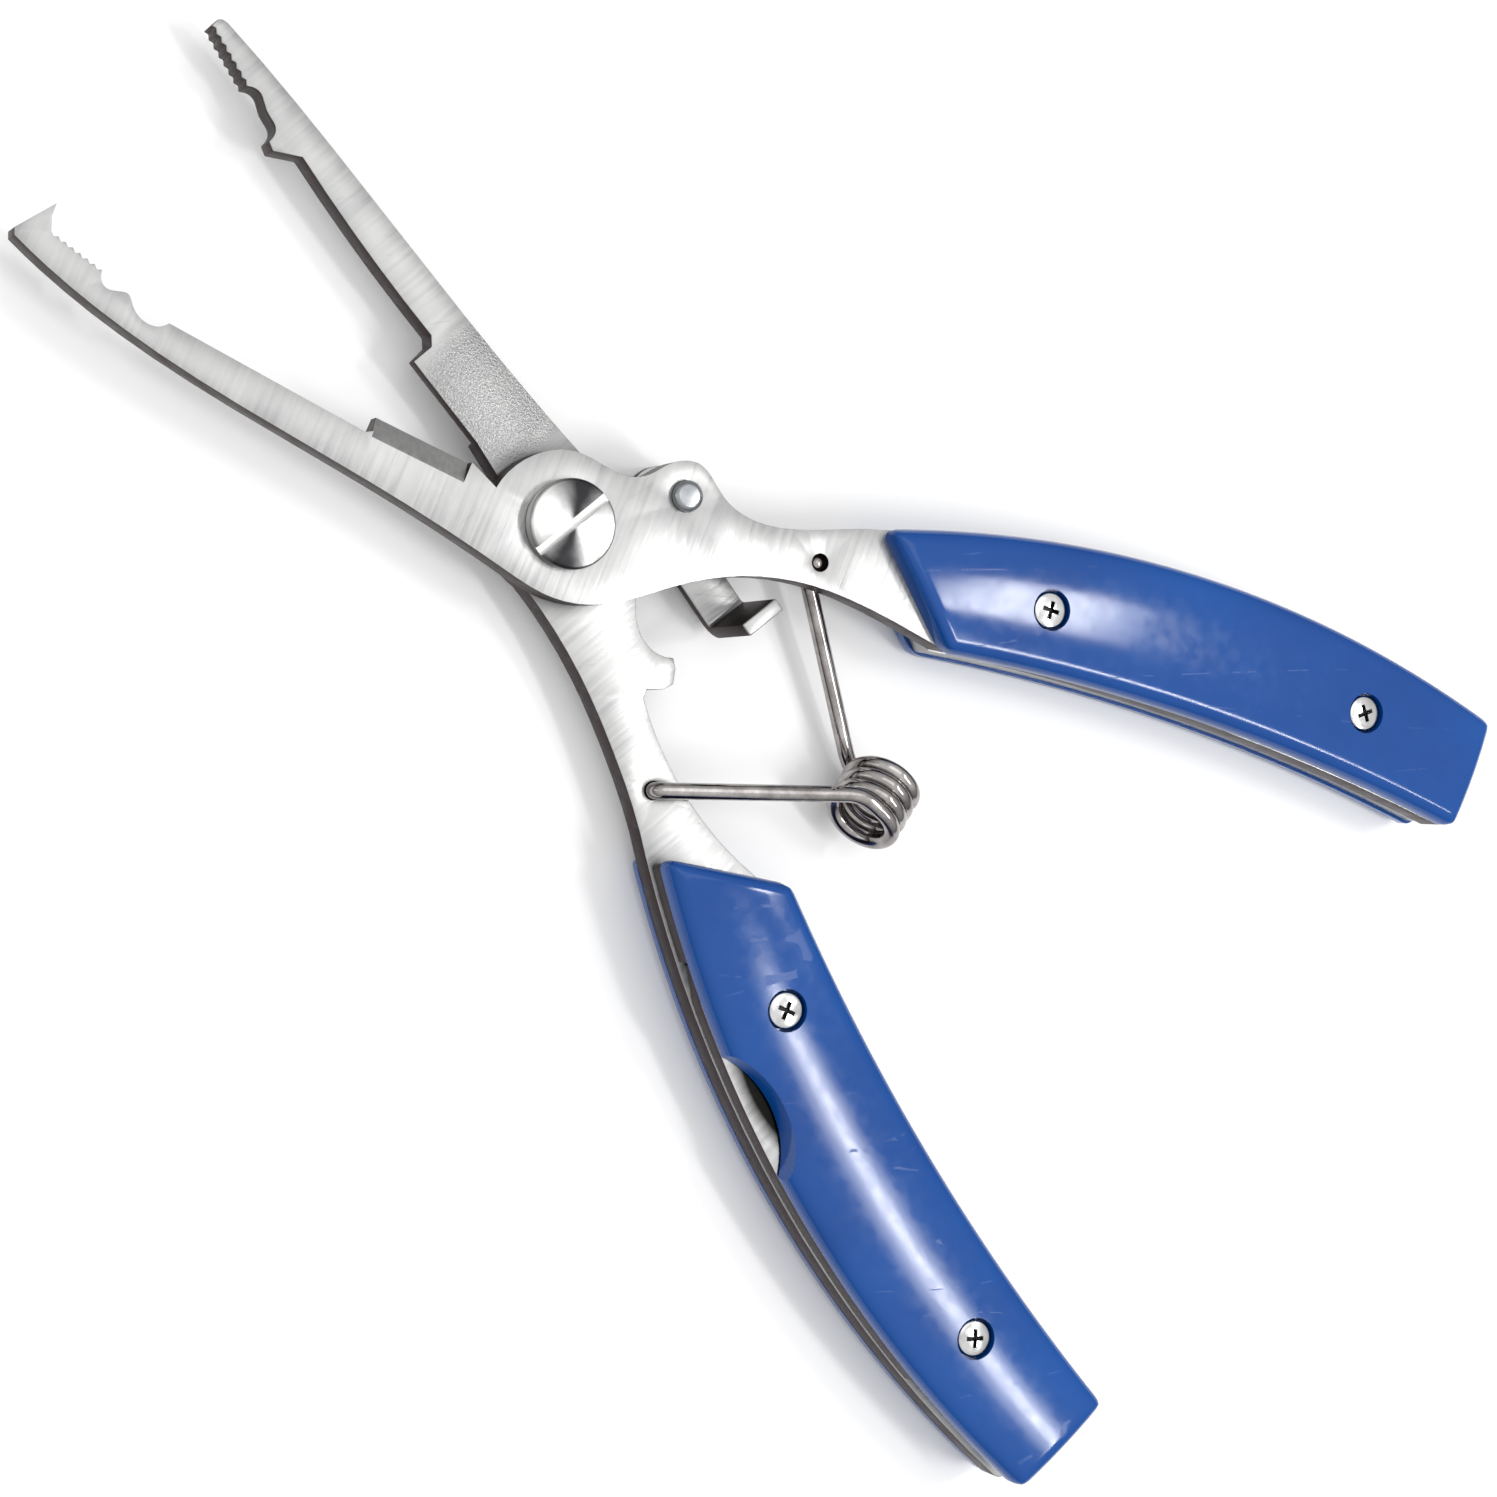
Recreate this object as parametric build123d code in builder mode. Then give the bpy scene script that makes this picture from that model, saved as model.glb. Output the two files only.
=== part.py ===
from build123d import *
import os
from math import cos, radians, sin

os.makedirs("parts", exist_ok=True)

# Fishing pliers with a folding knife in one handle, lying on their back, jaws towards -X.
# Two flat halves are overlaid at the pivot: the front half carries the lower jaw and the upper
# handle, the rear half the upper jaw and the lower handle. The pivot axis is the Z axis and the
# table is Z = 0. Each half is drawn as if the pliers were closed, with side +1 for the front half
# and -1 for the rear half, on a plane that is turned by half the opening.

# Opening between the halves as they lie, in degrees
opening = 26.0

# The stack, from the table up
scale_thickness = 3.0
plate_thickness = 3.2
rub_gap = 0.04
rear_layer = scale_thickness
rear_face = rear_layer + plate_thickness
front_layer = rear_face + rub_gap
front_face = front_layer + plate_thickness
scale_top = front_face + scale_thickness
layer_depth = front_face - rear_face

# Jaws, measured from the pivot
jaw_length = 63.2
nose = -jaw_length
cutter_reach = 22.8
cutter_root = 12.1
cutter_height = 1.35
bevel_width = 2.3
bevel_land = 1.7
jaw_lap = 1.6
jaw_lap_start = 24.6
lap_root = 2.0
bite_gap = 0.2
bite_teeth = 7
bite_depth = 0.3

# Handles, measured from the pivot
handle_length = 113.9
handle_front = 32.9
handle_back = 44.7
inner_middle = 12.3
inner_butt = 14.3
outer_front = 14.9
outer_middle = 27.4
outer_butt = 27.8
handle_round = 1.3
front_round = 1.0
fore_screw = (handle_front + 21.3, 15.0)
butt_screw = (handle_length - 17.3, 21.4)
scale_corner = 5.6
leg_corner_inset = 6.2
edge_round = 0.9
notch_offset = 26.0
notch_height = 31.0
notch_length = 21.0
notch_width = 18.0
spacer_inset = 0.35

# Pivot screw and nut
pivot_diameter = 5.0
pivot_head = 9.5
pivot_head_height = 1.75
slot_width = 1.0
slot_depth = 0.8
slot_turn = 75.0

# Fits
turn_clearance = 0.05
bolt_clearance = 0.05

# Handle screws and nuts
screw_diameter = 3.0
screw_head = 4.1
screw_head_height = 1.4
screw_sink = 0.2
cross_length = 2.5
cross_width = 0.6
cross_depth = 0.8
counterbore = 4.6
nut_width = 4.6
nut_height = 1.7
nut_sink = 0.3
nut_pocket = 5.8

# Lock: a pin in the front half and a lever behind both plates, whose tab rises past them
lock_pin_place = (10.8, 8.4)
lock_pin_diameter = 3.3
lock_pin_proud = 1.0
lock_shoulder = 5.4
lock_head = 6.4
lock_head_height = 0.9
lever_thickness = 1.5
lever_eye = 7.6
lever_turn = -29.6
lever_reach = 14.2
lever_bend = 0.5
lever_gap = 0.3
lever_low = 3.6
lever_high = 1.2
lever_top = front_face + 2.0

# Spring: a close coil between the handles, one leg in each half
wire = 1.8
spring_hole = 2.0
front_hole = (27.75, 8.6)
rear_hole = (28.1, -9.7)
coil_diameter = 9.0
coil_turns = 3.55
coil_pitch = 1.85
coil_middle = Vector(46.6, -1.3, 6.45)
coil_axis = Vector(0.11, 0.92, -0.38).normalized()
leg_lead = 3.0
leg_bend = 5.0

# Knife
washer_thickness = 0.35
blade_gap = 0.05
blade_tang = 6.8
blade_edge_gap = 0.5
blade_height = 17.9
blade_overrun = 9.7
dowel_diameter = 2.4
dowel_place = (butt_screw[0] - 16.0, 14.6)


def half_plane(side, height):
    return Plane.XY.offset(height).rotated((0, 0, side * opening / 2))


def serration(start, end):
    # Fine teeth along a line, with their peaks on it
    points = []
    for i in range(2 * bite_teeth + 1):
        part_way = i / (2 * bite_teeth)
        sunk = bite_depth * (i % 2)
        x = start[0] + (end[0] - start[0]) * part_way
        y = start[1] + (end[1] - start[1]) * part_way
        points.append((x, y, sunk))
    return points


def handle_edges(side, inner):
    # Inner edge, butt and outer edge of a handle, from its back corner round to its front corner
    inner_x = (handle_back + handle_length) / 2
    outer_x = (handle_front + handle_length) / 2
    ThreePointArc((handle_back, side * inner), (inner_x, side * inner_middle),
                  (handle_length, side * inner_butt))
    Line((handle_length, side * inner_butt), (handle_length, side * outer_butt))
    ThreePointArc((handle_length, side * outer_butt), (outer_x, side * outer_middle),
                  (handle_front, side * outer_front))


def handle_ring(side):
    handle_edges(side, scale_corner)
    Line((handle_front, side * outer_front), (handle_back, side * scale_corner))


def cut_holes(side, places, diameter):
    with Locations(*[(x, side * y) for x, y in places]):
        Circle(diameter / 2, mode=Mode.SUBTRACT)


def disc(place, height, diameter):
    with BuildSketch(Plane(origin=(place.X, place.Y, height))) as sketch:
        Circle(diameter / 2)
    return sketch.sketch


def bevel(side, base, rise):
    # Section of the wedge that grinds a cutter from its shear face back to full thickness
    turned = Plane.XY.rotated((0, 0, side * opening / 2))
    start = turned.from_local_coords(Vector(-cutter_reach, 0, 0))
    edge = side * (cutter_height + 1)
    land = base + rise * bevel_land
    full = base + rise * plate_thickness
    with BuildSketch(Plane(origin=start, x_dir=turned.y_dir, z_dir=turned.x_dir)) as sketch:
        with BuildLine():
            Polyline((edge, land), (side * cutter_height, land),
                     (side * (cutter_height - bevel_width), full),
                     (side * (cutter_height - bevel_width), full + rise), (edge, full + rise), close=True)
        make_face()
    return sketch.sketch


# Front half: lower jaw with the hooked tip, hub, ear for the lock pin, upper handle's leg
bite_start = (nose + 3.3, 3.2)
bite_end = (nose + 9.2, 2.0)
front_bite = [(x, y - sunk) for x, y, sunk in serration(bite_start, bite_end)]
notch_points = [bite_end, (nose + 11.2, 0.7), (nose + 12.5, 1.0), (nose + 13.4, 0.1),
                (nose + 15.5, -0.8), (nose + 17.3, 0.2)]

with BuildPart() as front_half:
    with BuildSketch(half_plane(1, front_layer)) as outline:
        with BuildLine():
            Polyline((nose + 0.3, 1.2), (nose, 1.9), (nose + 2.7, 5.9), (nose + 2.8, 4.6), bite_start)
            Polyline(*front_bite)
            Spline(*notch_points)
            Polyline(notch_points[-1], (-cutter_reach - 0.8, -0.8), (-cutter_reach, -0.3),
                     (-cutter_reach, cutter_height), (-cutter_root, cutter_height), (-8.7, 0.1))
            Spline((-8.7, 0.1), (-6.3, 5.0), (-2.8, 7.2), (0.5, 7.4), (3.7, 7.4), (6.0, 8.6),
                   (7.7, 10.7), (10.8, 12.2), (14.7, 10.2), (18.2, 9.4), (28.1, 12.7),
                   (handle_front, outer_front))
            handle_edges(1, leg_corner_inset)
            Spline((handle_back, leg_corner_inset), (37.7, 6.5), (27.1, 5.8), (19.0, 2.9), (13.7, -0.6),
                   (6.6, -6.1), (1.3, -7.7), (-4.7, -7.2), (-18.0, -5.5), (-34.5, -4.2),
                   (nose + 11.3, -1.9), (nose + 0.3, 1.2))
        make_face()
        fillet(outline.vertices().sort_by(Axis.X)[-2:], handle_round)
        cut_holes(1, [(0, 0)], pivot_diameter + 2 * bolt_clearance)
        cut_holes(1, [lock_pin_place], lock_pin_diameter + 2 * bolt_clearance)
        cut_holes(1, [front_hole], spring_hole)
        cut_holes(1, [fore_screw, butt_screw], screw_diameter + 2 * bolt_clearance)
    extrude(amount=plate_thickness)
    with BuildSketch(half_plane(1, front_layer)):
        with BuildLine():
            Polyline(bite_start, *front_bite[1:])
            Spline(*notch_points)
            Polyline(notch_points[-1], (-jaw_lap_start, -0.8), (-jaw_lap_start, lap_root - 5.0),
                     (nose + 11.3, lap_root - 3.1), (nose + 4.4, lap_root - 1.0), bite_start)
        make_face()
    extrude(amount=-jaw_lap)
    extrude(bevel(1, front_layer, 1), amount=cutter_reach - cutter_root, mode=Mode.SUBTRACT)
front_half.part.label = "front_half"
export_step(front_half.part, "parts/front_half.step")

# Rear half: upper jaw, hub, leg with the lock's catch, lower handle's leg
rear_start = (nose + 1.9, bite_start[1] + 0.2 + bite_gap)
rear_end = (bite_end[0] - 0.6, bite_end[1] + 0.4 + bite_gap)
rear_bite = [(x, y + sunk) for x, y, sunk in serration(rear_start, rear_end)]

with BuildPart() as rear_half:
    with BuildSketch(half_plane(-1, rear_layer)) as outline:
        with BuildLine():
            Polyline(rear_start, (nose + 1.8, 4.6), (nose + 2.1, 5.0), (nose + 2.7, 5.2))
            Spline((nose + 2.7, 5.2), (nose + 14.0, 5.8), (-34.0, 6.0), (-17.1, 6.3), (-4.2, 7.0))
            ThreePointArc((-4.2, 7.0), (2.1, 7.7), (7.2, 3.5))
            Spline((7.2, 3.5), (9.6, 3.3), (12.9, 0.7), (15.8, -0.2), (18.9, 1.2))
            Polyline((18.9, 1.2), (19.9, 0.7), (21.0, -0.6), (20.7, -1.8), (19.5, -3.3), (20.0, -4.2))
            Spline((20.0, -4.2), (22.8, -5.3), (29.0, -6.9), (handle_back, -leg_corner_inset))
            handle_edges(-1, leg_corner_inset)
            Spline((handle_front, -outer_front), (26.9, -12.2), (21.7, -10.4), (15.0, -8.5), (7.9, -7.3),
                   (2.2, -7.0))
            ThreePointArc((2.2, -7.0), (-4.0, -6.1), (-7.3, -1.9))
            Polyline((-7.3, -1.9), (-cutter_root, -cutter_height), (-cutter_reach, -cutter_height),
                     (-cutter_reach, 1.2), (-cutter_reach - 0.9, 1.9))
            ThreePointArc((-cutter_reach - 0.9, 1.9), ((nose + 17.5 - cutter_reach - 0.9) / 2, 2.0),
                          (nose + 17.5, 2.7))
            Polyline((nose + 17.5, 2.7), (nose + 16.6, 1.9), (nose + 15.2, 0.6), (nose + 14.2, 0.9))
            Spline((nose + 14.2, 0.9), (nose + 13.2, 2.5), (nose + 11.8, 2.7), (nose + 10.3, 3.3), rear_end)
            Polyline(*rear_bite)
        make_face()
        fillet(outline.vertices().sort_by(Axis.X)[-2:], handle_round)
        cut_holes(1, [(0, 0)], pivot_diameter + 2 * turn_clearance)
        cut_holes(1, [rear_hole], spring_hole)
        cut_holes(-1, [fore_screw, butt_screw], screw_diameter + 2 * bolt_clearance)
        cut_holes(-1, [dowel_place], dowel_diameter)
    extrude(amount=plate_thickness)
    extrude(bevel(-1, rear_face, -1), amount=cutter_reach - cutter_root, mode=Mode.SUBTRACT)
rear_half.part.label = "rear_half"
export_step(rear_half.part, "parts/rear_half.step")

# Pivot screw, from the front, and its nut, which is also the foot the pliers lie on
with BuildPart() as pivot_screw:
    with BuildSketch(Plane.XY.offset(nut_sink)):
        Circle(pivot_diameter / 2)
    extrude(amount=front_face - nut_sink)
    with BuildSketch(Plane.XY.offset(front_face)):
        Circle(pivot_head / 2)
    extrude(amount=pivot_head_height)
    fillet(pivot_screw.edges().filter_by(GeomType.CIRCLE).sort_by(Axis.Z)[-1], 0.35)
    with BuildSketch(Plane.XY.offset(front_face + pivot_head_height).rotated((0, 0, slot_turn))):
        Rectangle(pivot_head + 1, slot_width)
    extrude(amount=-slot_depth, mode=Mode.SUBTRACT)
pivot_screw.part.label = "pivot_screw"
export_step(pivot_screw.part, "parts/pivot_screw.step")

with BuildPart() as pivot_nut:
    with BuildSketch():
        RegularPolygon(pivot_head / 2, 6)
    extrude(amount=rear_layer - rub_gap)
    chamfer(pivot_nut.edges().group_by(Axis.Z)[0], 0.4)
    with BuildSketch(Plane.XY.offset(nut_sink)):
        Circle(pivot_diameter / 2 + bolt_clearance)
    extrude(amount=rear_layer, mode=Mode.SUBTRACT)
pivot_nut.part.label = "pivot_nut"
export_step(pivot_nut.part, "parts/pivot_nut.step")

# Lock pin: riveted in the front half, with a shoulder beside the rear half and a head behind the lever
pin_plane = half_plane(1, 0)
pin_axis = pin_plane.from_local_coords(Vector(*lock_pin_place))
lever_back = rear_layer - lever_gap - lever_thickness
shoulder_back = lever_back + lever_thickness + rub_gap

with BuildPart() as lock_pin:
    extrude(disc(pin_axis, lever_back - rub_gap, lock_head), amount=-lock_head_height)
    extrude(disc(pin_axis, lever_back - rub_gap, lock_pin_diameter),
            amount=front_face + lock_pin_proud - lever_back + rub_gap)
    extrude(disc(pin_axis, shoulder_back, lock_shoulder), amount=front_layer - shoulder_back)
    chamfer(lock_pin.edges().filter_by(GeomType.CIRCLE).sort_by(Axis.Z)[-1], 0.45)
lock_pin.part.label = "lock_pin"
export_step(lock_pin.part, "parts/lock_pin.step")

# Lock lever: an eye round the pin, an arm along the back and a tab bent up past both plates
arm = Plane(origin=(pin_axis.X, pin_axis.Y, lever_back)).rotated((0, 0, opening / 2 + lever_turn))
arm_side = Plane(origin=arm.from_local_coords(Vector(0, -lever_low, 0)), x_dir=arm.x_dir, z_dir=-arm.y_dir)
bend_start = lever_reach - lever_bend
bend_outer = lever_bend + lever_thickness
lever_end = lever_reach + lever_thickness
tab_height = lever_top - lever_back
slant = sin(radians(45))

with BuildPart() as lock_lever:
    with BuildSketch(arm_side):
        with BuildLine():
            Line((0, 0), (bend_start, 0))
            ThreePointArc((bend_start, 0), (bend_start + bend_outer * slant, bend_outer * (1 - slant)),
                          (lever_end, bend_outer))
            Polyline((lever_end, bend_outer), (lever_end, tab_height), (lever_reach, tab_height),
                     (lever_reach, bend_outer))
            ThreePointArc((lever_reach, bend_outer),
                          (bend_start + lever_bend * slant, bend_outer - lever_bend * slant),
                          (bend_start, lever_thickness))
            Polyline((bend_start, lever_thickness), (0, lever_thickness), (0, 0))
        make_face()
    extrude(amount=-(lever_low + lever_high))
    with BuildSketch(arm):
        Circle(lever_eye / 2)
    extrude(amount=lever_thickness)
    with BuildSketch(arm):
        Circle(lock_pin_diameter / 2 + turn_clearance)
    extrude(amount=lever_thickness, mode=Mode.SUBTRACT)
lock_lever.part.label = "lock_lever"
export_step(lock_lever.part, "parts/lock_lever.step")

# Spring: each leg comes from its hole, runs along the plate that holds it and joins the coil
coil_height = coil_turns * coil_pitch
coil_start = coil_middle - coil_axis * (coil_height / 2)
upward = (Vector(0, 0, 1) - coil_axis * coil_axis.Z).normalized()
coil_plane = Plane(origin=coil_start, x_dir=upward, z_dir=coil_axis)
coil_radius = (coil_diameter - wire) / 2
leg_corner = wire / 2 + rub_gap
front_peg = half_plane(1, 0).from_local_coords(Vector(*front_hole))
rear_peg = half_plane(-1, 0).from_local_coords(Vector(*rear_hole))

coil = coil_plane * Helix(coil_pitch, coil_height, coil_radius)
first = coil @ 0
last = coil @ 1

with BuildPart() as opening_spring:
    with BuildLine() as path:
        add(coil)
        FilletPolyline((rear_peg.X, rear_peg.Y, rear_layer), (rear_peg.X, rear_peg.Y, rear_face + leg_corner),
                       first - (coil % 0) * leg_lead, first, radius=[leg_corner, leg_bend])
        FilletPolyline(last, last + (coil % 1) * leg_lead,
                       (front_peg.X, front_peg.Y, front_layer - leg_corner),
                       (front_peg.X, front_peg.Y, front_face - 0.3), radius=[leg_bend, leg_corner])
    with BuildSketch(Plane(origin=path.line @ 0, z_dir=path.line % 0)):
        Circle(wire / 2)
    sweep(path=path.line)
opening_spring.part.label = "opening_spring"
export_step(opening_spring.part, "parts/opening_spring.step")

# Handle scales: moulded, with a counterbore for each screw head or a pocket for each nut
screws = [fore_screw, butt_screw]
scales = {
    "upper_front_scale": (1, front_face),
    "upper_back_scale": (1, 0),
    "lower_front_scale": (-1, front_face),
    "lower_back_scale": (-1, 0),
}
head_seat = scale_top - screw_sink - screw_head_height
nut_seat = nut_sink + nut_height
notch_middle = handle_front + notch_offset

for name, (side, bottom) in scales.items():
    faces_front = bottom == front_face
    with BuildPart() as scale:
        with BuildSketch(half_plane(side, bottom)) as outline:
            with BuildLine():
                handle_ring(side)
            make_face()
            fillet(outline.vertices().sort_by(Axis.X)[-2:], handle_round)
            fillet(outline.vertices().sort_by(Axis.X)[:2], front_round)
            if name == "lower_front_scale":
                # Thumb notch over the blade's nail edge
                with Locations((notch_middle, side * notch_height)):
                    Ellipse(notch_length / 2, notch_width / 2, mode=Mode.SUBTRACT)
            cut_holes(side, screws, screw_diameter + 2 * bolt_clearance)
        extrude(amount=scale_thickness)
        outside = scale.faces().sort_by(Axis.Z)[-1 if faces_front else 0]
        chamfer(outside.outer_wire().edges(), edge_round)
        with BuildSketch(half_plane(side, head_seat if faces_front else 0)):
            with Locations(*[(x, side * y) for x, y in screws]):
                Circle((counterbore if faces_front else nut_pocket) / 2)
        extrude(amount=scale_top - head_seat if faces_front else nut_seat, mode=Mode.SUBTRACT)
    scale.part.label = name
    export_step(scale.part, f"parts/{name}.step")

# Upper spacer: fills the rear layer of the upper handle, between the leg and the back scale
with BuildPart() as upper_spacer:
    with BuildSketch(half_plane(1, rear_layer)) as outline:
        with BuildLine():
            handle_ring(1)
        make_face()
        fillet(outline.vertices().sort_by(Axis.X)[-2:], handle_round)
        fillet(outline.vertices().sort_by(Axis.X)[:2], front_round)
        offset(amount=-spacer_inset)
        cut_holes(1, screws, screw_diameter + 2 * bolt_clearance)
    extrude(amount=front_layer - rear_layer)
upper_spacer.part.label = "upper_spacer"
export_step(upper_spacer.part, "parts/upper_spacer.step")

# Lower spacer: the knife's back wall, from a full-width block ahead of the blade's tip to the tang
tang = Vector(butt_screw[0], butt_screw[1])
tip = (fore_screw[0] - blade_overrun, -blade_height - 1.2)
block_end = tip[0] - blade_edge_gap
wall_end = tang.X - blade_tang - 1.3
wall_top = blade_height - blade_edge_gap

with BuildPart() as lower_spacer:
    with BuildSketch(half_plane(-1, rear_face)) as outline:
        with BuildLine():
            handle_ring(-1)
        make_face()
        fillet(outline.vertices().sort_by(Axis.X)[-2:], handle_round)
        fillet(outline.vertices().sort_by(Axis.X)[:2], front_round)
        offset(amount=-spacer_inset)
        with BuildLine():
            Polyline((handle_front - 5, 0), (handle_front - 5, -outer_butt), (block_end, -outer_butt),
                     (block_end, -wall_top), (fore_screw[0] + 4, -wall_top),
                     (wall_end, -wall_top + 0.4), (wall_end, 0), close=True)
        make_face(mode=Mode.INTERSECT)
        cut_holes(-1, [fore_screw], screw_diameter + 2 * bolt_clearance)
        cut_holes(-1, [dowel_place], dowel_diameter)
    extrude(amount=layer_depth)
lower_spacer.part.label = "lower_spacer"
export_step(lower_spacer.part, "parts/lower_spacer.step")

with BuildPart() as spacer_dowel:
    with BuildSketch(half_plane(-1, rear_layer)):
        with Locations((dowel_place[0], -dowel_place[1])):
            Circle(dowel_diameter / 2)
    extrude(amount=front_face - rear_layer)
spacer_dowel.part.label = "spacer_dowel"
export_step(spacer_dowel.part, "parts/spacer_dowel.step")

# Knife blade: a round tang on the butt screw, its spine flush with the handle's outer edge
blade_bottom = rear_face + washer_thickness + blade_gap
blade_top = front_face - washer_thickness - blade_gap
heel = (tang.X - blade_tang - 0.6, -blade_height - 0.5)

with BuildPart() as knife_blade:
    with BuildSketch(half_plane(-1, blade_bottom)) as outline:
        with BuildLine():
            handle_ring(-1)
        make_face()
        offset(amount=-0.1)
        with BuildLine():
            Spline(tip, (tip[0] + 6, -blade_height - 0.2), (tip[0] + 16, -blade_height), heel)
            Polyline(heel, (tang.X, -blade_height), (tang.X, -blade_height - 20),
                     (tip[0] + 12, -blade_height - 20))
            Spline((tip[0] + 12, -blade_height - 20), (tip[0] + 5, -blade_height - 4.2), tip)
        make_face(mode=Mode.INTERSECT)
        with Locations((tang.X, -tang.Y)):
            Circle(blade_tang)
            Circle(screw_diameter / 2 + turn_clearance, mode=Mode.SUBTRACT)
    extrude(amount=blade_top - blade_bottom)
knife_blade.part.label = "knife_blade"
export_step(knife_blade.part, "parts/knife_blade.step")

# Thin washers either side of the blade's tang
washers = {"blade_washer_front": front_face - washer_thickness, "blade_washer_back": rear_face}

for name, bottom in washers.items():
    with BuildPart() as washer:
        with BuildSketch(half_plane(-1, bottom)):
            with Locations((tang.X, -tang.Y)):
                Circle(blade_tang - 1.0)
                Circle(screw_diameter / 2 + bolt_clearance, mode=Mode.SUBTRACT)
        extrude(amount=washer_thickness)
    washer.part.label = name
    export_step(washer.part, f"parts/{name}.step")

# Four cross-head screws through the handles, each with a round nut sunk in the back scale
fasteners = {
    "upper_fore": (1, fore_screw),
    "upper_butt": (1, butt_screw),
    "lower_fore": (-1, fore_screw),
    "lower_butt": (-1, butt_screw),
}

for name, (side, (x, y)) in fasteners.items():
    axis = half_plane(side, 0).from_local_coords(Vector(x, side * y))
    with BuildPart() as screw:
        extrude(disc(axis, nut_sink, screw_diameter), amount=head_seat - nut_sink)
        extrude(disc(axis, head_seat, screw_head), amount=screw_head_height)
        fillet(screw.edges().filter_by(GeomType.CIRCLE).sort_by(Axis.Z)[-1], 0.5)
        with BuildSketch(Plane(origin=(axis.X, axis.Y, head_seat + screw_head_height))):
            Rectangle(cross_length, cross_width)
            Rectangle(cross_width, cross_length)
        extrude(amount=-cross_depth, mode=Mode.SUBTRACT)
    screw.part.label = f"{name}_screw"
    export_step(screw.part, f"parts/{name}_screw.step")
    with BuildPart() as nut:
        with BuildSketch(Plane(origin=(axis.X, axis.Y, nut_sink))):
            RegularPolygon(nut_width / 2, 6, major_radius=False)
            Circle(screw_diameter / 2 + bolt_clearance, mode=Mode.SUBTRACT)
        extrude(amount=nut_height)
    nut.part.label = f"{name}_nut"
    export_step(nut.part, f"parts/{name}_nut.step")
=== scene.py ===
import bpy, bmesh, math
from mathutils import Matrix, Vector


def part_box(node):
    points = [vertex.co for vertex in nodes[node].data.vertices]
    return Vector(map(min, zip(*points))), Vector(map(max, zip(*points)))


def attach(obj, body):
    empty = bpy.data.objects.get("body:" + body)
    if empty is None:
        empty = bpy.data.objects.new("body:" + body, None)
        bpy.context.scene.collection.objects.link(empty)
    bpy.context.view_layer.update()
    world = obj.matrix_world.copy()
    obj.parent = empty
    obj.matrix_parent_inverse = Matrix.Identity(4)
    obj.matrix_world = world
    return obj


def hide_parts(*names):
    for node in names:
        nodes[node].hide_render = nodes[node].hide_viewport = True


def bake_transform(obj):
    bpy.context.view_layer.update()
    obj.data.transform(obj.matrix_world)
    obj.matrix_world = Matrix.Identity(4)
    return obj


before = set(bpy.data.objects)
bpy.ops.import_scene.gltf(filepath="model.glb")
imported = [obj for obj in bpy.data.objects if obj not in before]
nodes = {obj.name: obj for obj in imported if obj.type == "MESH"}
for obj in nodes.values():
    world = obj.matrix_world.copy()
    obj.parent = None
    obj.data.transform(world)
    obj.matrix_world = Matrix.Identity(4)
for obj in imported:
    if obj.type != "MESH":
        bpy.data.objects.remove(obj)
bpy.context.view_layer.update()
mm = 0.001
halfTurn = math.radians(13.0)  # each half lies this far from closed
scene = bpy.context.scene


def turned(x, y, z, side):  # millimetres on a closed half (1 front, -1 rear) to metres in the frame
    c, s = math.cos(side * halfTurn), math.sin(side * halfTurn)
    return Vector((x * c - y * s, x * s + y * c, z)) * mm


# camera, floor and light
view = {"eye": (-80.8, -89.1, 320.4), "target": (30.28, -6.43, 9.4), "up": (-0.5972, 0.8021, 0.0),
        "lens": 76.95, "nearest": 0.01}
studio = {"horizon": 0.26, "zenith": 1.24, "floor": (0.93, 0.93, 0.93), "floorRough": 0.9,
          "floorReach": 7, "floorDrop": 0.0002}
lights = {  # place, target, width, length, watts, long direction in degrees
    "overhead": ((-60, 160, 650), (20, 0, 0), 420, 420, 0.5, 0),
    "lowerStreak": ((315, 24, 443), (84, -42, 12), 20, 190, 0.36, -21),
    "lowerHalo": ((312, 20, 436), (84, -42, 12), 64, 200, 0.32, -21),
    "upperPatch": ((226, 185, 443), (47, 25, 12), 80, 44, 0.34, 21),
    "rim": ((-420, -260, 260), (20, 0, 0), 300, 160, 0.12, 90)}


def aimed(name, data, eye, target, up):
    thing = bpy.data.objects.new(name, data)
    scene.collection.objects.link(thing)
    back = (Vector(eye) - Vector(target)).normalized()
    right = Vector(up).cross(back).normalized()
    turn = Matrix((right, back.cross(right), back)).transposed().to_4x4()
    thing.matrix_world = Matrix.Translation(Vector(eye) * mm) @ turn
    return thing


def makeCamera():
    data = bpy.data.cameras.new("camera")
    data.lens = view["lens"]
    data.clip_start = view["nearest"]
    scene.camera = aimed("camera", data, view["eye"], view["target"], view["up"])


def softLight(name, eye, target, width, length, strength, lie):
    data = bpy.data.lights.new(name, "AREA")
    data.shape = "RECTANGLE"
    data.size, data.size_y, data.energy = width * mm, length * mm, strength
    lie = math.radians(lie)
    return aimed(name, data, eye, target, (math.cos(lie), math.sin(lie), 0.01))


def makeWorld():  # a dome that darkens towards the horizon
    world = bpy.data.worlds.new("studio")
    scene.world = world
    world.use_nodes = True
    tree = world.node_tree
    coords = tree.nodes.new("ShaderNodeTexCoord")
    split = tree.nodes.new("ShaderNodeSeparateXYZ")
    rise = tree.nodes.new("ShaderNodeMapRange")
    rise.inputs["To Min"].default_value = studio["horizon"]
    rise.inputs["To Max"].default_value = studio["zenith"]
    tree.links.new(coords.outputs["Generated"], split.inputs[0])
    tree.links.new(split.outputs["Z"], rise.inputs["Value"])
    tree.links.new(rise.outputs["Result"], tree.nodes["Background"].inputs["Strength"])
    tree.nodes["Background"].inputs["Color"].default_value = (1, 1, 1, 1)


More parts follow.
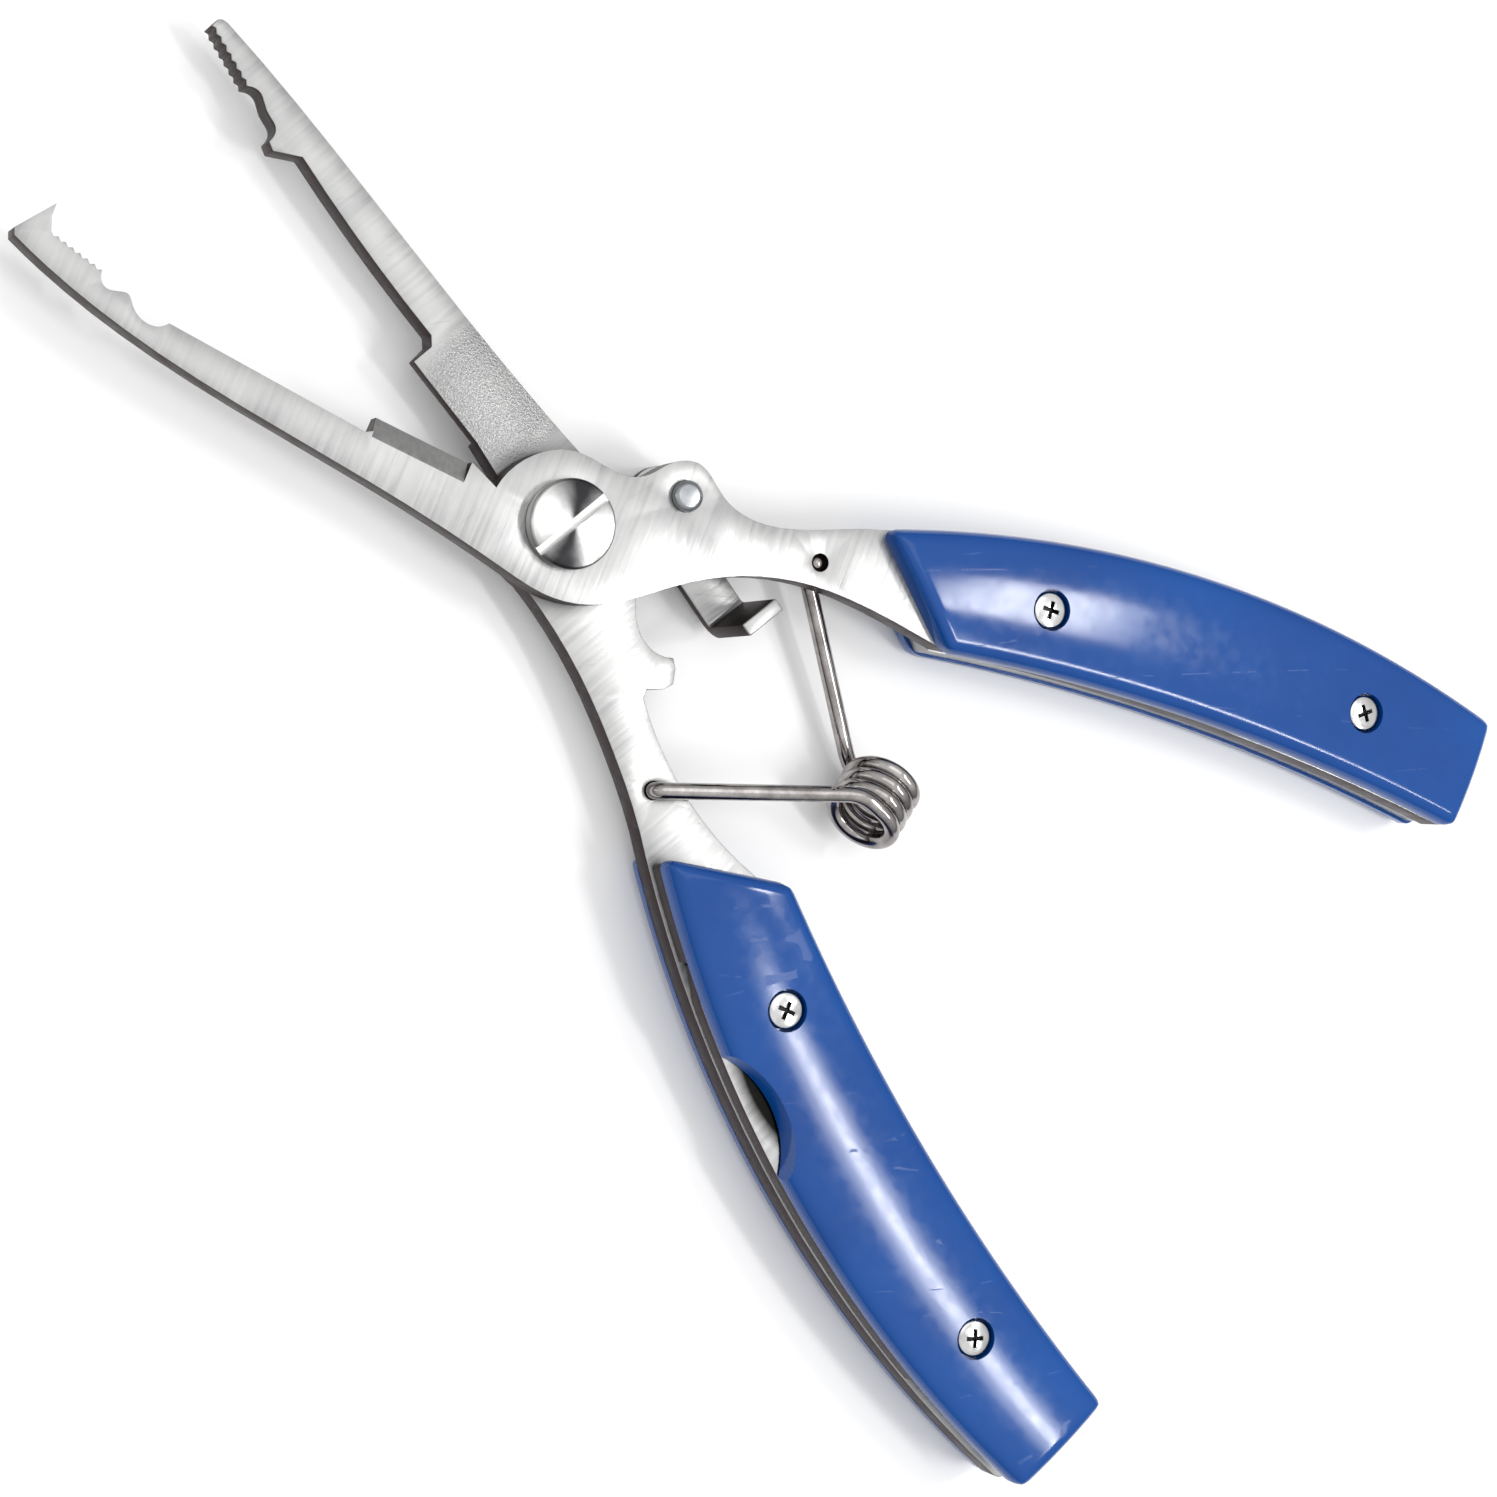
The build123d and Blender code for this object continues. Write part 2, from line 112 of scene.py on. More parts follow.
def makeFloor():
    bm = bmesh.new()
    bmesh.ops.create_grid(bm, x_segments=1, y_segments=1, size=studio["floorReach"])
    bmesh.ops.translate(bm, vec=(0, 0, -studio["floorDrop"]), verts=bm.verts)
    mesh = bpy.data.meshes.new("floor")
    bm.to_mesh(mesh)
    bm.free()
    floor = bpy.data.objects.new("floor", mesh)
    scene.collection.objects.link(floor)
    paper = bpy.data.materials.new("paper")
    paper.use_nodes = True
    shader = paper.node_tree.nodes["Principled BSDF"]
    shader.inputs["Base Color"].default_value = (*studio["floor"], 1)
    shader.inputs["Roughness"].default_value = studio["floorRough"]
    mesh.materials.append(paper)


scene.view_settings.view_transform = "Standard"
makeCamera()
makeWorld()
makeFloor()
for name, settings in lights.items():
    softLight(name, *settings)
print("stage: camera and studio")


# node helpers
def newMaterial(name):
    material = bpy.data.materials.new(name)
    material.use_nodes = True
    tree = material.node_tree
    return material, tree, tree.nodes["Principled BSDF"]


def makeGroup(name, sockets):  # sockets: (name, INPUT or OUTPUT, type, value)
    group = bpy.data.node_groups.new(name, "ShaderNodeTree")
    for label, way, kind, value in sockets:
        socket = group.interface.new_socket(name=label, in_out=way, socket_type="NodeSocket" + kind)
        if value is not None:
            socket.default_value = value
    return group, group.nodes.new("NodeGroupInput"), group.nodes.new("NodeGroupOutput")


def fill(tree, socket, value):  # a link, or a value for the socket
    if isinstance(value, (int, float, tuple)):
        socket.default_value = (*value, 1) if isinstance(value, tuple) and socket.type == "RGBA" else value
    elif value is not None:
        tree.links.new(value, socket)


def maths(tree, kind, *values):
    node = tree.nodes.new("ShaderNodeMath")
    node.operation = kind
    for socket, value in zip(node.inputs, values):
        fill(tree, socket, value)
    return node.outputs[0]


def noise(tree, vector, scale, detail=3.0, rough=0.5):
    node = tree.nodes.new("ShaderNodeTexNoise")
    for label, value in (("Vector", vector), ("Scale", scale), ("Detail", detail), ("Roughness", rough)):
        fill(tree, node.inputs[label], value)
    return node.outputs["Fac"]


def spread(tree, value, low, high, fromLow=0.3, fromHigh=0.7):
    node = tree.nodes.new("ShaderNodeMapRange")
    settings = {"Value": value, "From Min": fromLow, "From Max": fromHigh, "To Min": low, "To Max": high}
    for label, v in settings.items():
        fill(tree, node.inputs[label], v)
    return node.outputs["Result"]


def blendColor(tree, factor, a, b):
    node = tree.nodes.new("ShaderNodeMix")
    node.data_type = "RGBA"
    for socket, value in zip([s for s in node.inputs if s.type == "RGBA"], (a, b)):
        fill(tree, socket, value)
    tree.links.new(factor, node.inputs["Factor"])
    return [s for s in node.outputs if s.type == "RGBA"][0]


def turnAndStretch(tree, vector, angle, along):
    turn = tree.nodes.new("ShaderNodeVectorRotate")
    turn.rotation_type = "Z_AXIS"
    fill(tree, turn.inputs["Vector"], vector)
    fill(tree, turn.inputs["Angle"], angle)
    stretch = tree.nodes.new("ShaderNodeVectorMath")
    stretch.operation = "MULTIPLY"
    stretch.inputs[1].default_value = (1.0, along, 1.0)
    tree.links.new(turn.outputs[0], stretch.inputs[0])
    return stretch.outputs[0]


def useGroup(tree, group, **values):
    node = tree.nodes.new("ShaderNodeGroup")
    node.node_tree = group
    for label, value in values.items():
        fill(tree, node.inputs[label], value)
    return node.outputs


def objectCoords(tree):
    return tree.nodes.new("ShaderNodeTexCoord").outputs["Object"]


def addBump(tree, shader, height, strength, distance):
    bump = tree.nodes.new("ShaderNodeBump")
    bump.inputs["Strength"].default_value = strength
    bump.inputs["Distance"].default_value = distance
    tree.links.new(height, bump.inputs["Height"])
    tree.links.new(bump.outputs["Normal"], shader.inputs["Normal"])


# shared effects
grainLook = {"lines": 1800.0, "stretch": 0.04, "cloud": (110.0, 4.0, 0.6), "speck": (4200.0, 2.0, 0.7)}
scratchLook = {"scale": 260.0, "width": 0.012, "stretch": 0.12, "patch": (330.0, 1.0), "patchLimit": 0.54}


def makeGrain():  # ground lines one way, slow clouding and fine specks
    group, given, out = makeGroup("groundGrain", [
        ("Vector", "INPUT", "Vector", None), ("Angle", "INPUT", "Float", 0.0),
        ("Lines", "INPUT", "Float", grainLook["lines"]),
        ("Height", "OUTPUT", "Float", None), ("Cloud", "OUTPUT", "Float", None),
        ("Speck", "OUTPUT", "Float", None)])
    vector = given.outputs["Vector"]
    drawn = turnAndStretch(group, vector, given.outputs["Angle"], grainLook["stretch"])
    lines = noise(group, drawn, given.outputs["Lines"])
    group.links.new(lines, out.inputs["Height"])
    group.links.new(noise(group, vector, *grainLook["cloud"]), out.inputs["Cloud"])
    group.links.new(noise(group, vector, *grainLook["speck"]), out.inputs["Speck"])
    return group


def makeScratches():  # thin lines where a stretched noise crosses its middle, in patches
    group, given, out = makeGroup("fineScratches", [
        ("Vector", "INPUT", "Vector", None), ("Angle", "INPUT", "Float", 0.0),
        ("Scale", "INPUT", "Float", scratchLook["scale"]), ("Width", "INPUT", "Float", scratchLook["width"]),
        ("Scratch", "OUTPUT", "Float", None)])
    vector = given.outputs["Vector"]
    drawn = turnAndStretch(group, vector, given.outputs["Angle"], scratchLook["stretch"])
    across = noise(group, drawn, given.outputs["Scale"], 0.0)
    thin = maths(group, "LESS_THAN", maths(group, "ABSOLUTE", maths(group, "SUBTRACT", across, 0.5)),
                 given.outputs["Width"])
    patch = maths(group, "GREATER_THAN", noise(group, vector, *scratchLook["patch"]),
                  scratchLook["patchLimit"])
    group.links.new(maths(group, "MULTIPLY", thin, patch), out.inputs["Scratch"])
    return group


def makeNear():  # 1 near a point in the plane, falling to 0 at the far distance
    group, given, out = makeGroup("nearPoint", [
        ("Vector", "INPUT", "Vector", None), ("Place", "INPUT", "Vector", None),
        ("Near", "INPUT", "Float", 0.008), ("Far", "INPUT", "Float", 0.01),
        ("Mask", "OUTPUT", "Float", None)])
    gap = group.nodes.new("ShaderNodeVectorMath")
    gap.operation = "SUBTRACT"
    group.links.new(given.outputs["Vector"], gap.inputs[0])
    group.links.new(given.outputs["Place"], gap.inputs[1])
    flat = group.nodes.new("ShaderNodeVectorMath")
    flat.operation = "MULTIPLY"
    flat.inputs[1].default_value = (1, 1, 0)
    group.links.new(gap.outputs[0], flat.inputs[0])
    length = group.nodes.new("ShaderNodeVectorMath")
    length.operation = "LENGTH"
    group.links.new(flat.outputs[0], length.inputs[0])
    mask = spread(group, length.outputs["Value"], 1.0, 0.0, given.outputs["Near"], given.outputs["Far"])
    group.links.new(mask, out.inputs["Mask"])
    return group


grain = makeGrain()
scratches = makeScratches()
nearPoint = makeNear()

# metals
steel = {"light": (0.43, 0.43, 0.425), "dull": (0.31, 0.31, 0.31), "rough": (0.30, 0.44), "bump": 0.4,
         "bumpDepth": 0.00005, "tone": (0.36, 0.64), "markTurn": 0.5, "markScale": 210.0, "markWidth": 0.006,
         "markDepth": -1.5}
edgeSteel = {"dark": (0.014, 0.007, 0.008), "pale": (0.040, 0.022, 0.022), "rough": (0.35, 0.5),
             "metallic": 0.85, "cloud": (420.0, 4.0, 0.6), "grit": (1500.0, 3.0, 0.6), "bump": 0.25,
             "bumpDepth": 0.00005}
# blasted patch, and in the ring entries a painted shadow round the hub
blastAndHubShadow = {"place": (-0.0150, 0.0028), "near": 0.0058, "far": 0.0082, "dark": (0.25, 0.25, 0.25),
         "sparkle": (0.42, 0.62), "depth": 5.0, "hubShadowNear": 0.0078, "hubShadowFar": 0.0098, "hubShadowShare": 0.75,
         "hubShadowColour": (0.09, 0.09, 0.09)}
# painted shade on the blade beside the thumb notch's wall
notchShade = {"place": (63.6, -5.6), "near": 0.0178, "far": 0.0193, "colour": (0.012, 0.012, 0.011)}


def steelMaterial(name, angle, rough=steel["rough"], light=steel["light"], dull=steel["dull"], blastedAndHubShaded=False,
                  shaded=False):
    material, tree, shader = newMaterial(name)
    coords = objectCoords(tree)
    made = useGroup(tree, grain, Vector=coords, Angle=angle, Lines=grainLook["lines"])
    marks = useGroup(tree, scratches, Vector=coords, Angle=angle + steel["markTurn"],
                     Scale=steel["markScale"], Width=steel["markWidth"])
    tone = maths(tree, "MULTIPLY", maths(tree, "ADD", made["Cloud"], made["Height"]), 0.5)
    colour = blendColor(tree, spread(tree, tone, 0.0, 1.0, *steel["tone"]), dull, light)
    shine = spread(tree, made["Height"], *rough)
    height = maths(tree, "ADD", made["Height"], maths(tree, "MULTIPLY", marks["Scratch"],
                                                             steel["markDepth"]))
    if blastedAndHubShaded:  # sparkling patch between the cutter and the hub, and a painted shadow ring round the hub, where the front half's hub shades the rear jaw
        place = turned(blastAndHubShadow["place"][0] / mm, blastAndHubShadow["place"][1] / mm, 0, -1)
        patch = useGroup(tree, nearPoint, Vector=coords, Place=tuple(place), Near=blastAndHubShadow["near"],
                         Far=blastAndHubShadow["far"])
        sparkle = spread(tree, made["Speck"], 0.0, 1.0, *blastAndHubShadow["sparkle"])
        worn = maths(tree, "MULTIPLY", patch["Mask"], sparkle)
        colour = blendColor(tree, worn, colour, blastAndHubShadow["dark"])
        pits = maths(tree, "MULTIPLY", patch["Mask"], made["Speck"])
        height = maths(tree, "ADD", height, maths(tree, "MULTIPLY", pits, blastAndHubShadow["depth"]))
        hubShadow = useGroup(tree, nearPoint, Vector=coords, Place=(0.0, 0.0, 0.0), Near=blastAndHubShadow["hubShadowNear"],
                        Far=blastAndHubShadow["hubShadowFar"])
        colour = blendColor(tree, maths(tree, "MULTIPLY", hubShadow["Mask"], blastAndHubShadow["hubShadowShare"]), colour,
                            blastAndHubShadow["hubShadowColour"])
    if shaded:  # painted shade: darkens the blade beside the notch's wall, where the scale shades it
        place = turned(*notchShade["place"], 0, -1)
        notchShadow = useGroup(tree, nearPoint, Vector=coords, Place=tuple(place), Near=notchShade["near"],
                       Far=notchShade["far"])
        colour = blendColor(tree, notchShadow["Mask"], colour, notchShade["colour"])
    shader.inputs["Metallic"].default_value = 1.0
    tree.links.new(colour, shader.inputs["Base Color"])
    tree.links.new(shine, shader.inputs["Roughness"])
    addBump(tree, shader, height, steel["bump"], steel["bumpDepth"])
    return material


def edgeMaterial():  # stamped side walls, dark plum and slightly rough
    material, tree, shader = newMaterial("stampedEdge")
    coords = objectCoords(tree)
    cloud = noise(tree, coords, *edgeSteel["cloud"])
    shader.inputs["Metallic"].default_value = edgeSteel["metallic"]
    tree.links.new(blendColor(tree, spread(tree, cloud, 0.0, 1.0), edgeSteel["dark"], edgeSteel["pale"]),
                   shader.inputs["Base Color"])
    tree.links.new(spread(tree, cloud, *edgeSteel["rough"]), shader.inputs["Roughness"])
    addBump(tree, shader, noise(tree, coords, *edgeSteel["grit"]), edgeSteel["bump"], edgeSteel["bumpDepth"])
    return material


# light and dark: a painted reflection in two bright sectors on the turned face
turnedFaceAndSheen = {"light": (0.60, 0.60, 0.59), "dark": (0.030, 0.030, 0.032), "lie": 21.7, "rings": 5200.0,
              "wobble": 0.3, "cloud": 500.0, "cloudShare": 0.5, "swing": 0.95, "rough": (0.16, 0.26),
              "bump": 0.35, "bumpDepth": 0.00001}


def turnedPaintedSheenMaterial(name, place):  # faced on a lathe, with a painted bow-tie reflection: two bright sectors and dark between them, painted into the colour
    material, tree, shader = newMaterial(name)
    coords = objectCoords(tree)
    centred = tree.nodes.new("ShaderNodeVectorMath")
    centred.operation = "SUBTRACT"
    centred.inputs[1].default_value = (place.x, place.y, 0)
    tree.links.new(coords, centred.inputs[0])
    wave = tree.nodes.new("ShaderNodeTexWave")
    wave.wave_type = "RINGS"
    wave.rings_direction = "Z"
    wave.inputs["Scale"].default_value = turnedFaceAndSheen["rings"]
    wave.inputs["Distortion"].default_value = turnedFaceAndSheen["wobble"]
    tree.links.new(centred.outputs[0], wave.inputs["Vector"])
    split = tree.nodes.new("ShaderNodeSeparateXYZ")
    tree.links.new(centred.outputs[0], split.inputs[0])
    angle = maths(tree, "ARCTAN2", split.outputs["Y"], split.outputs["X"])
    doubled = maths(tree, "MULTIPLY_ADD", angle, 2.0, -2.0 * math.radians(turnedFaceAndSheen["lie"]))
    sector = maths(tree, "COSINE", doubled)
    cloud = noise(tree, coords, turnedFaceAndSheen["cloud"])
    drift = maths(tree, "MULTIPLY", maths(tree, "SUBTRACT", cloud, 0.5), turnedFaceAndSheen["cloudShare"])
    sheen = maths(tree, "ADD", sector, drift)
    shader.inputs["Metallic"].default_value = 1.0
    bright = spread(tree, sheen, 0.0, 1.0, -turnedFaceAndSheen["swing"], turnedFaceAndSheen["swing"])
    tree.links.new(blendColor(tree, bright, turnedFaceAndSheen["dark"], turnedFaceAndSheen["light"]),
                   shader.inputs["Base Color"])
    tree.links.new(spread(tree, cloud, *turnedFaceAndSheen["rough"]), shader.inputs["Roughness"])
    addBump(tree, shader, wave.outputs["Fac"], turnedFaceAndSheen["bump"], turnedFaceAndSheen["bumpDepth"])
    return material


chromeLook = {"cloud": (380.0, 4.0, 0.6), "shine": 1400.0, "ripple": (900.0, 3.0), "bump": 0.10,
              "bumpDepth": 0.00003}


def chromeMaterial(name, light=(0.46, 0.44, 0.43), dark=(0.20, 0.18, 0.175), rough=(0.06, 0.16)):
    material, tree, shader = newMaterial(name)
    coords = objectCoords(tree)
    cloud = noise(tree, coords, *chromeLook["cloud"])
    shader.inputs["Metallic"].default_value = 1.0
    tree.links.new(blendColor(tree, spread(tree, cloud, 0.0, 1.0), dark, light), shader.inputs["Base Color"])
    tree.links.new(spread(tree, noise(tree, coords, chromeLook["shine"]), *rough), shader.inputs["Roughness"])
    addBump(tree, shader, noise(tree, coords, *chromeLook["ripple"]), chromeLook["bump"],
            chromeLook["bumpDepth"])
    return material


frontSteel = steelMaterial("frontSteel", -halfTurn)
# the rear half: blasted patch and a painted shadow ring round the hub
rearSteel = steelMaterial("rearSteel", halfTurn, blastedAndHubShaded=True)
leverSteel = steelMaterial("leverSteel", 0.4)
spacerSteel = steelMaterial("spacerSteel", -0.2, (0.3, 0.5))
# shaded: the blade carries painted shade beside the thumb notch
bladeSteel = steelMaterial("bladeSteel", 0.25, (0.12, 0.22), (0.62, 0.62, 0.62), (0.46, 0.46, 0.46),
                           shaded=True)
brass = steelMaterial("washerBrass", 0.1, (0.25, 0.4), (0.62, 0.44, 0.20), (0.45, 0.31, 0.13))
pinSteel = chromeMaterial("pinSteel", (0.34, 0.35, 0.36), (0.20, 0.21, 0.22), (0.22, 0.34))
slotSteel = chromeMaterial("slotSteel", (0.62, 0.62, 0.61), (0.50, 0.50, 0.49), (0.25, 0.35))
nutSteel = steelMaterial("nutSteel", 0.7, (0.2, 0.35))
chrome = chromeMaterial("springChrome")
screwChrome = chromeMaterial("screwChrome", (0.66, 0.66, 0.66), (0.42, 0.42, 0.42), (0.10, 0.2))
# painted shade: near-black colour for the screws' cross recesses
recessShade = chromeMaterial("screwRecessShade", (0.045, 0.042, 0.040), (0.015, 0.014, 0.014), (0.3, 0.5))
edge = edgeMaterial()
print("stage: metals")


# making pieces
meshing = {"weld": 0.000004, "flat": 0.6, "sharp": 32, "segments": 2, "planeTouch": 0.0000001}


def finishPiece(bm, name, body, materials, replaced, smooth=meshing["sharp"]):
    mesh = bpy.data.meshes.new(name)
    bm.to_mesh(mesh)
    bm.free()
    for material in materials:
        mesh.materials.append(material)
    mesh.shade_smooth()
    mesh.set_sharp_from_angle(angle=math.radians(smooth))
    piece = bpy.data.objects.new(name, mesh)
    scene.collection.objects.link(piece)
    if body:
        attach(piece, body)
    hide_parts(*replaced)
    return piece


def cadCopy(node):
    bm = bmesh.new()
    bm.from_mesh(nodes[node].data)
    bmesh.ops.remove_doubles(bm, verts=bm.verts, dist=meshing["weld"])
    bmesh.ops.dissolve_degenerate(bm, dist=meshing["weld"], edges=bm.edges)
    bmesh.ops.dissolve_limit(bm, angle_limit=math.radians(meshing["flat"]), verts=bm.verts,
                             edges=bm.edges)
    return bm


def roundEdges(bm, width):
    limit = math.radians(meshing["sharp"])
    sharp = [e for e in bm.edges if len(e.link_faces) == 2 and e.calc_face_angle(0) > limit]
    bmesh.ops.bevel(bm, geom=sharp, offset=width * mm, offset_type="OFFSET", segments=meshing["segments"],
                    affect="EDGES", profile=0.5, material=-1, clamp_overlap=True)


def plate(node, name, body, width, material, walls=0.6):
    bm = cadCopy(node)
    roundEdges(bm, width)
    bmesh.ops.triangulate(bm, faces=[f for f in bm.faces if len(f.verts) > 4])
    for face in bm.faces:  # walls take the second material
        face.material_index = 1 if abs(face.normal.z) < walls else 0
    return finishPiece(bm, name, body, [material, edge], [node])


plate("front_half", "frontPlate", "front", 0.2, frontSteel)
plate("rear_half", "rearPlate", "rear", 0.2, rearSteel)
plate("lock_lever", "lever", "lever", 0.16, leverSteel, walls=0.3)
plate("upper_spacer", "upperSpacer", "front", 0.12, spacerSteel, walls=-1)
plate("lower_spacer", "lowerSpacer", "rear", 0.12, spacerSteel)
plate("knife_blade", "bladePlate", "blade", 0.08, bladeSteel)
for end in ("fore", "butt"):
    plate(f"upper_{end}_nut", f"upper{end.title()}Nut", "front", 0.2, nutSteel, -1)
    plate(f"lower_{end}_nut", f"lower{end.title()}Nut", "rear", 0.2, nutSteel, -1)
plate("pivot_nut", "pivotNut", "front", 0.25, nutSteel, -1)
print("stage: plates")


def spun(profile, place, segments):  # profile: (radius, height) in millimetres, from axis to axis
    bm = bmesh.new()
    verts = [bm.verts.new((r * mm, 0, z * mm)) for r, z in profile]
    edges = [bm.edges.new(pair) for pair in zip(verts, verts[1:])]
    bmesh.ops.spin(bm, geom=verts + edges, cent=(0, 0, 0), axis=(0, 0, 1), angle=2 * math.pi, steps=segments,
                   use_merge=True)
    bmesh.ops.remove_doubles(bm, verts=bm.verts, dist=0.000001)
    bmesh.ops.recalc_face_normals(bm, faces=bm.faces)
    bmesh.ops.translate(bm, vec=(place.x, place.y, 0), verts=bm.verts)
    return bm


def arcProfile(middle, radius, start, end, steps=6):  # part of a circle in a profile, in degrees
    angles = [math.radians(start + (end - start) * i / steps) for i in range(steps + 1)]
    return [(middle[0] + radius * math.cos(a), middle[1] + radius * math.sin(a)) for a in angles]


cutterHeight = 2  # of the bars that cut the slots


def cutter(bm):
    mesh = bpy.data.meshes.new("cutter")
    bm.to_mesh(mesh)
    bm.free()
    thing = bpy.data.objects.new("cutter", mesh)
    scene.collection.objects.link(thing)
    return thing


def block(place, size, turn, taper=1.0, low=0.0):  # a bar standing in from height low
    bm = bmesh.new()
    bmesh.ops.create_cube(bm, size=1.0)
    bmesh.ops.scale(bm, vec=[v * mm for v in size], verts=bm.verts)
    foot = [v for v in bm.verts if v.co.z < 0]
    bmesh.ops.scale(bm, vec=(taper, taper, 1), verts=foot)
    bmesh.ops.rotate(bm, matrix=Matrix.Rotation(turn, 3, "Z"), verts=bm.verts)
    bmesh.ops.translate(bm, vec=(place.x, place.y, low * mm + size[2] * mm / 2), verts=bm.verts)
    return cutter(bm)


def cutBy(piece, cutters):
    for tool in cutters:
        modifier = piece.modifiers.new("cut", "BOOLEAN")
        modifier.operation, modifier.solver, modifier.object = "DIFFERENCE", "EXACT", tool
    bpy.context.view_layer.update()
    shape = bpy.data.meshes.new_from_object(piece.evaluated_get(bpy.context.evaluated_depsgraph_get()))
    piece.modifiers.clear()
    piece.data = shape
    for tool in cutters:
        bpy.data.objects.remove(tool)


# recess: (material, below this height, within this radius)
def resmooth(piece, material, angle=30, recess=None):
    piece.data.materials.clear()
    piece.data.materials.append(material)
    if recess:
        piece.data.materials.append(recess[0])
        middle = sum((v.co for v in piece.data.vertices), Vector()) / len(piece.data.vertices)
        for face in piece.data.polygons:
            inside = (face.center - middle).xy.length < recess[2] * mm
            deep = face.center.z < recess[1] * mm and face.normal.z > -0.5
            face.material_index = 1 if inside and deep else 0
    piece.data.shade_smooth()
    piece.data.set_sharp_from_angle(angle=math.radians(angle))


# pivot screw, lock pin, handle screws
pivot = {"head": 4.75, "round": 0.42, "dome": 0.12, "shank": 2.5, "slot": (9.9, 1.0, 0.8), "turn": 75.0,
         "easeIn": 0.1, "easeUp": 0.12, "slotAbove": 0.1, "slotInside": 0.05}
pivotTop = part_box("pivot_screw")[1].z / mm
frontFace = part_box("upper_front_scale")[0].z / mm
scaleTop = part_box("upper_front_scale")[1].z / mm


def makePivotScrew():
    p = pivot
    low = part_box("pivot_screw")[0].z / mm
    rim = p["head"] - p["round"]
    profile = [(0, low), (p["shank"], low), (p["shank"], frontFace), (p["head"] - p["easeIn"], frontFace),
               (p["head"], frontFace + p["easeUp"])]
    profile += arcProfile((rim, pivotTop - p["dome"] - p["round"]), p["round"], 0, 80)
    profile += [(rim * part, pivotTop - p["dome"] * part * part) for part in (0.9, 0.7, 0.5, 0.25, 0)]
    piece = finishPiece(spun(profile, Vector((0, 0, 0)), 128), "pivotScrew", "front", [], ["pivot_screw"])
    length, width, depth = p["slot"]
    cutBy(piece, [block(Vector((0, 0, 0)), (length, width, cutterHeight), math.radians(p["turn"]),
                        low=pivotTop - depth)])
    # the head's face carries a painted bow-tie reflection
    resmooth(piece, turnedPaintedSheenMaterial("facedHeadPaintedSheen", Vector((0, 0, 0))),
             recess=(slotSteel, pivotTop - depth + p["slotAbove"], p["head"] - p["slotInside"]))


pin = {"radius": 1.65, "chamfer": 0.42, "shoulder": 2.7, "head": 3.2, "headHeight": 0.9,
       "ease": 0.15, "rearGap": 0.26, "plate": 3.2, "crestIn": 0.08, "crestPart": 0.6, "crestDown": 0.03}


def makeLockPin():
    low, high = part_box("lock_pin")
    middle = (low + high) / 2
    a, b = low.z / mm, high.z / mm
    p = pin
    ease = p["ease"]
    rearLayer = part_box("rear_half")[0].z / mm - p["rearGap"]
    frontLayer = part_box("front_half")[1].z / mm - p["plate"]
    profile = [(0, a), (p["head"] - ease, a), (p["head"], a + ease), (p["head"], a + p["headHeight"] - ease),
               (p["head"] - ease, a + p["headHeight"]), (p["radius"], a + p["headHeight"]),
               (p["radius"], rearLayer), (p["shoulder"], rearLayer), (p["shoulder"], frontLayer),
               (p["radius"], frontLayer), (p["radius"], b - p["chamfer"]),
               (p["radius"] - p["crestIn"], b - p["chamfer"] * p["crestPart"]),
               (p["radius"] - p["chamfer"], b - p["crestDown"]),
               (p["radius"] - p["chamfer"] - ease, b), (0, b)]
    finishPiece(spun(profile, middle, 72), "lockPin", "front", [pinSteel], ["lock_pin"])


screw = {"head": 2.05, "shank": 1.5, "rise": 0.16, "round": 0.35, "cross": (2.6, 0.62, 1.1), "taper": 0.55,
         "headHeight": 1.4, "tip": 0.2, "shadeBelow": 0.3, "shadeWithin": 1.32,
         "turns": {"upper_fore": 20, "upper_butt": 55, "lower_fore": 12, "lower_butt": 35}}


def makeScrew(name, body):
    low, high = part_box(f"{name}_screw")
    middle = (low + high) / 2
    a, b = low.z / mm, high.z / mm
    s = screw
    rim = s["head"] - s["round"]
    seat = b - s["headHeight"]
    profile = [(0, a), (s["shank"] - s["tip"], a), (s["shank"], a + s["tip"]), (s["shank"], seat),
               (s["head"], seat)]
    profile += arcProfile((rim, b - s["rise"] - s["round"]), s["round"], 0, 75, 5)
    profile += [(rim * part, b - s["rise"] * part * part) for part in (0.85, 0.6, 0.3, 0)]
    words = name.split("_")
    piece = finishPiece(spun(profile, middle, 64), f"{words[0]}{words[1].title()}Screw", body, [],
                        [f"{name}_screw"])
    turn = math.radians(s["turns"][name])
    length, width, depth = s["cross"]
    cutBy(piece, [block(middle, (length, width, cutterHeight), turn + quarter, s["taper"], b - depth)
                  for quarter in (0, math.pi / 2)])
    # the cross recess takes the painted shade
    resmooth(piece, screwChrome, recess=(recessShade, b - s["shadeBelow"], s["shadeWithin"]))


makePivotScrew()
makeLockPin()
for name in screw["turns"]:
    makeScrew(name, "front" if name.startswith("upper") else "rear")
print("stage: screws")

# spring, dowel, washers
spring = {"cut": 40.0, "frontHole": (27.75, 8.6), "rearHole": (28.1, -9.7), "far": 600.0,
          "joinWithin": 0.00001, "smooth": 50}


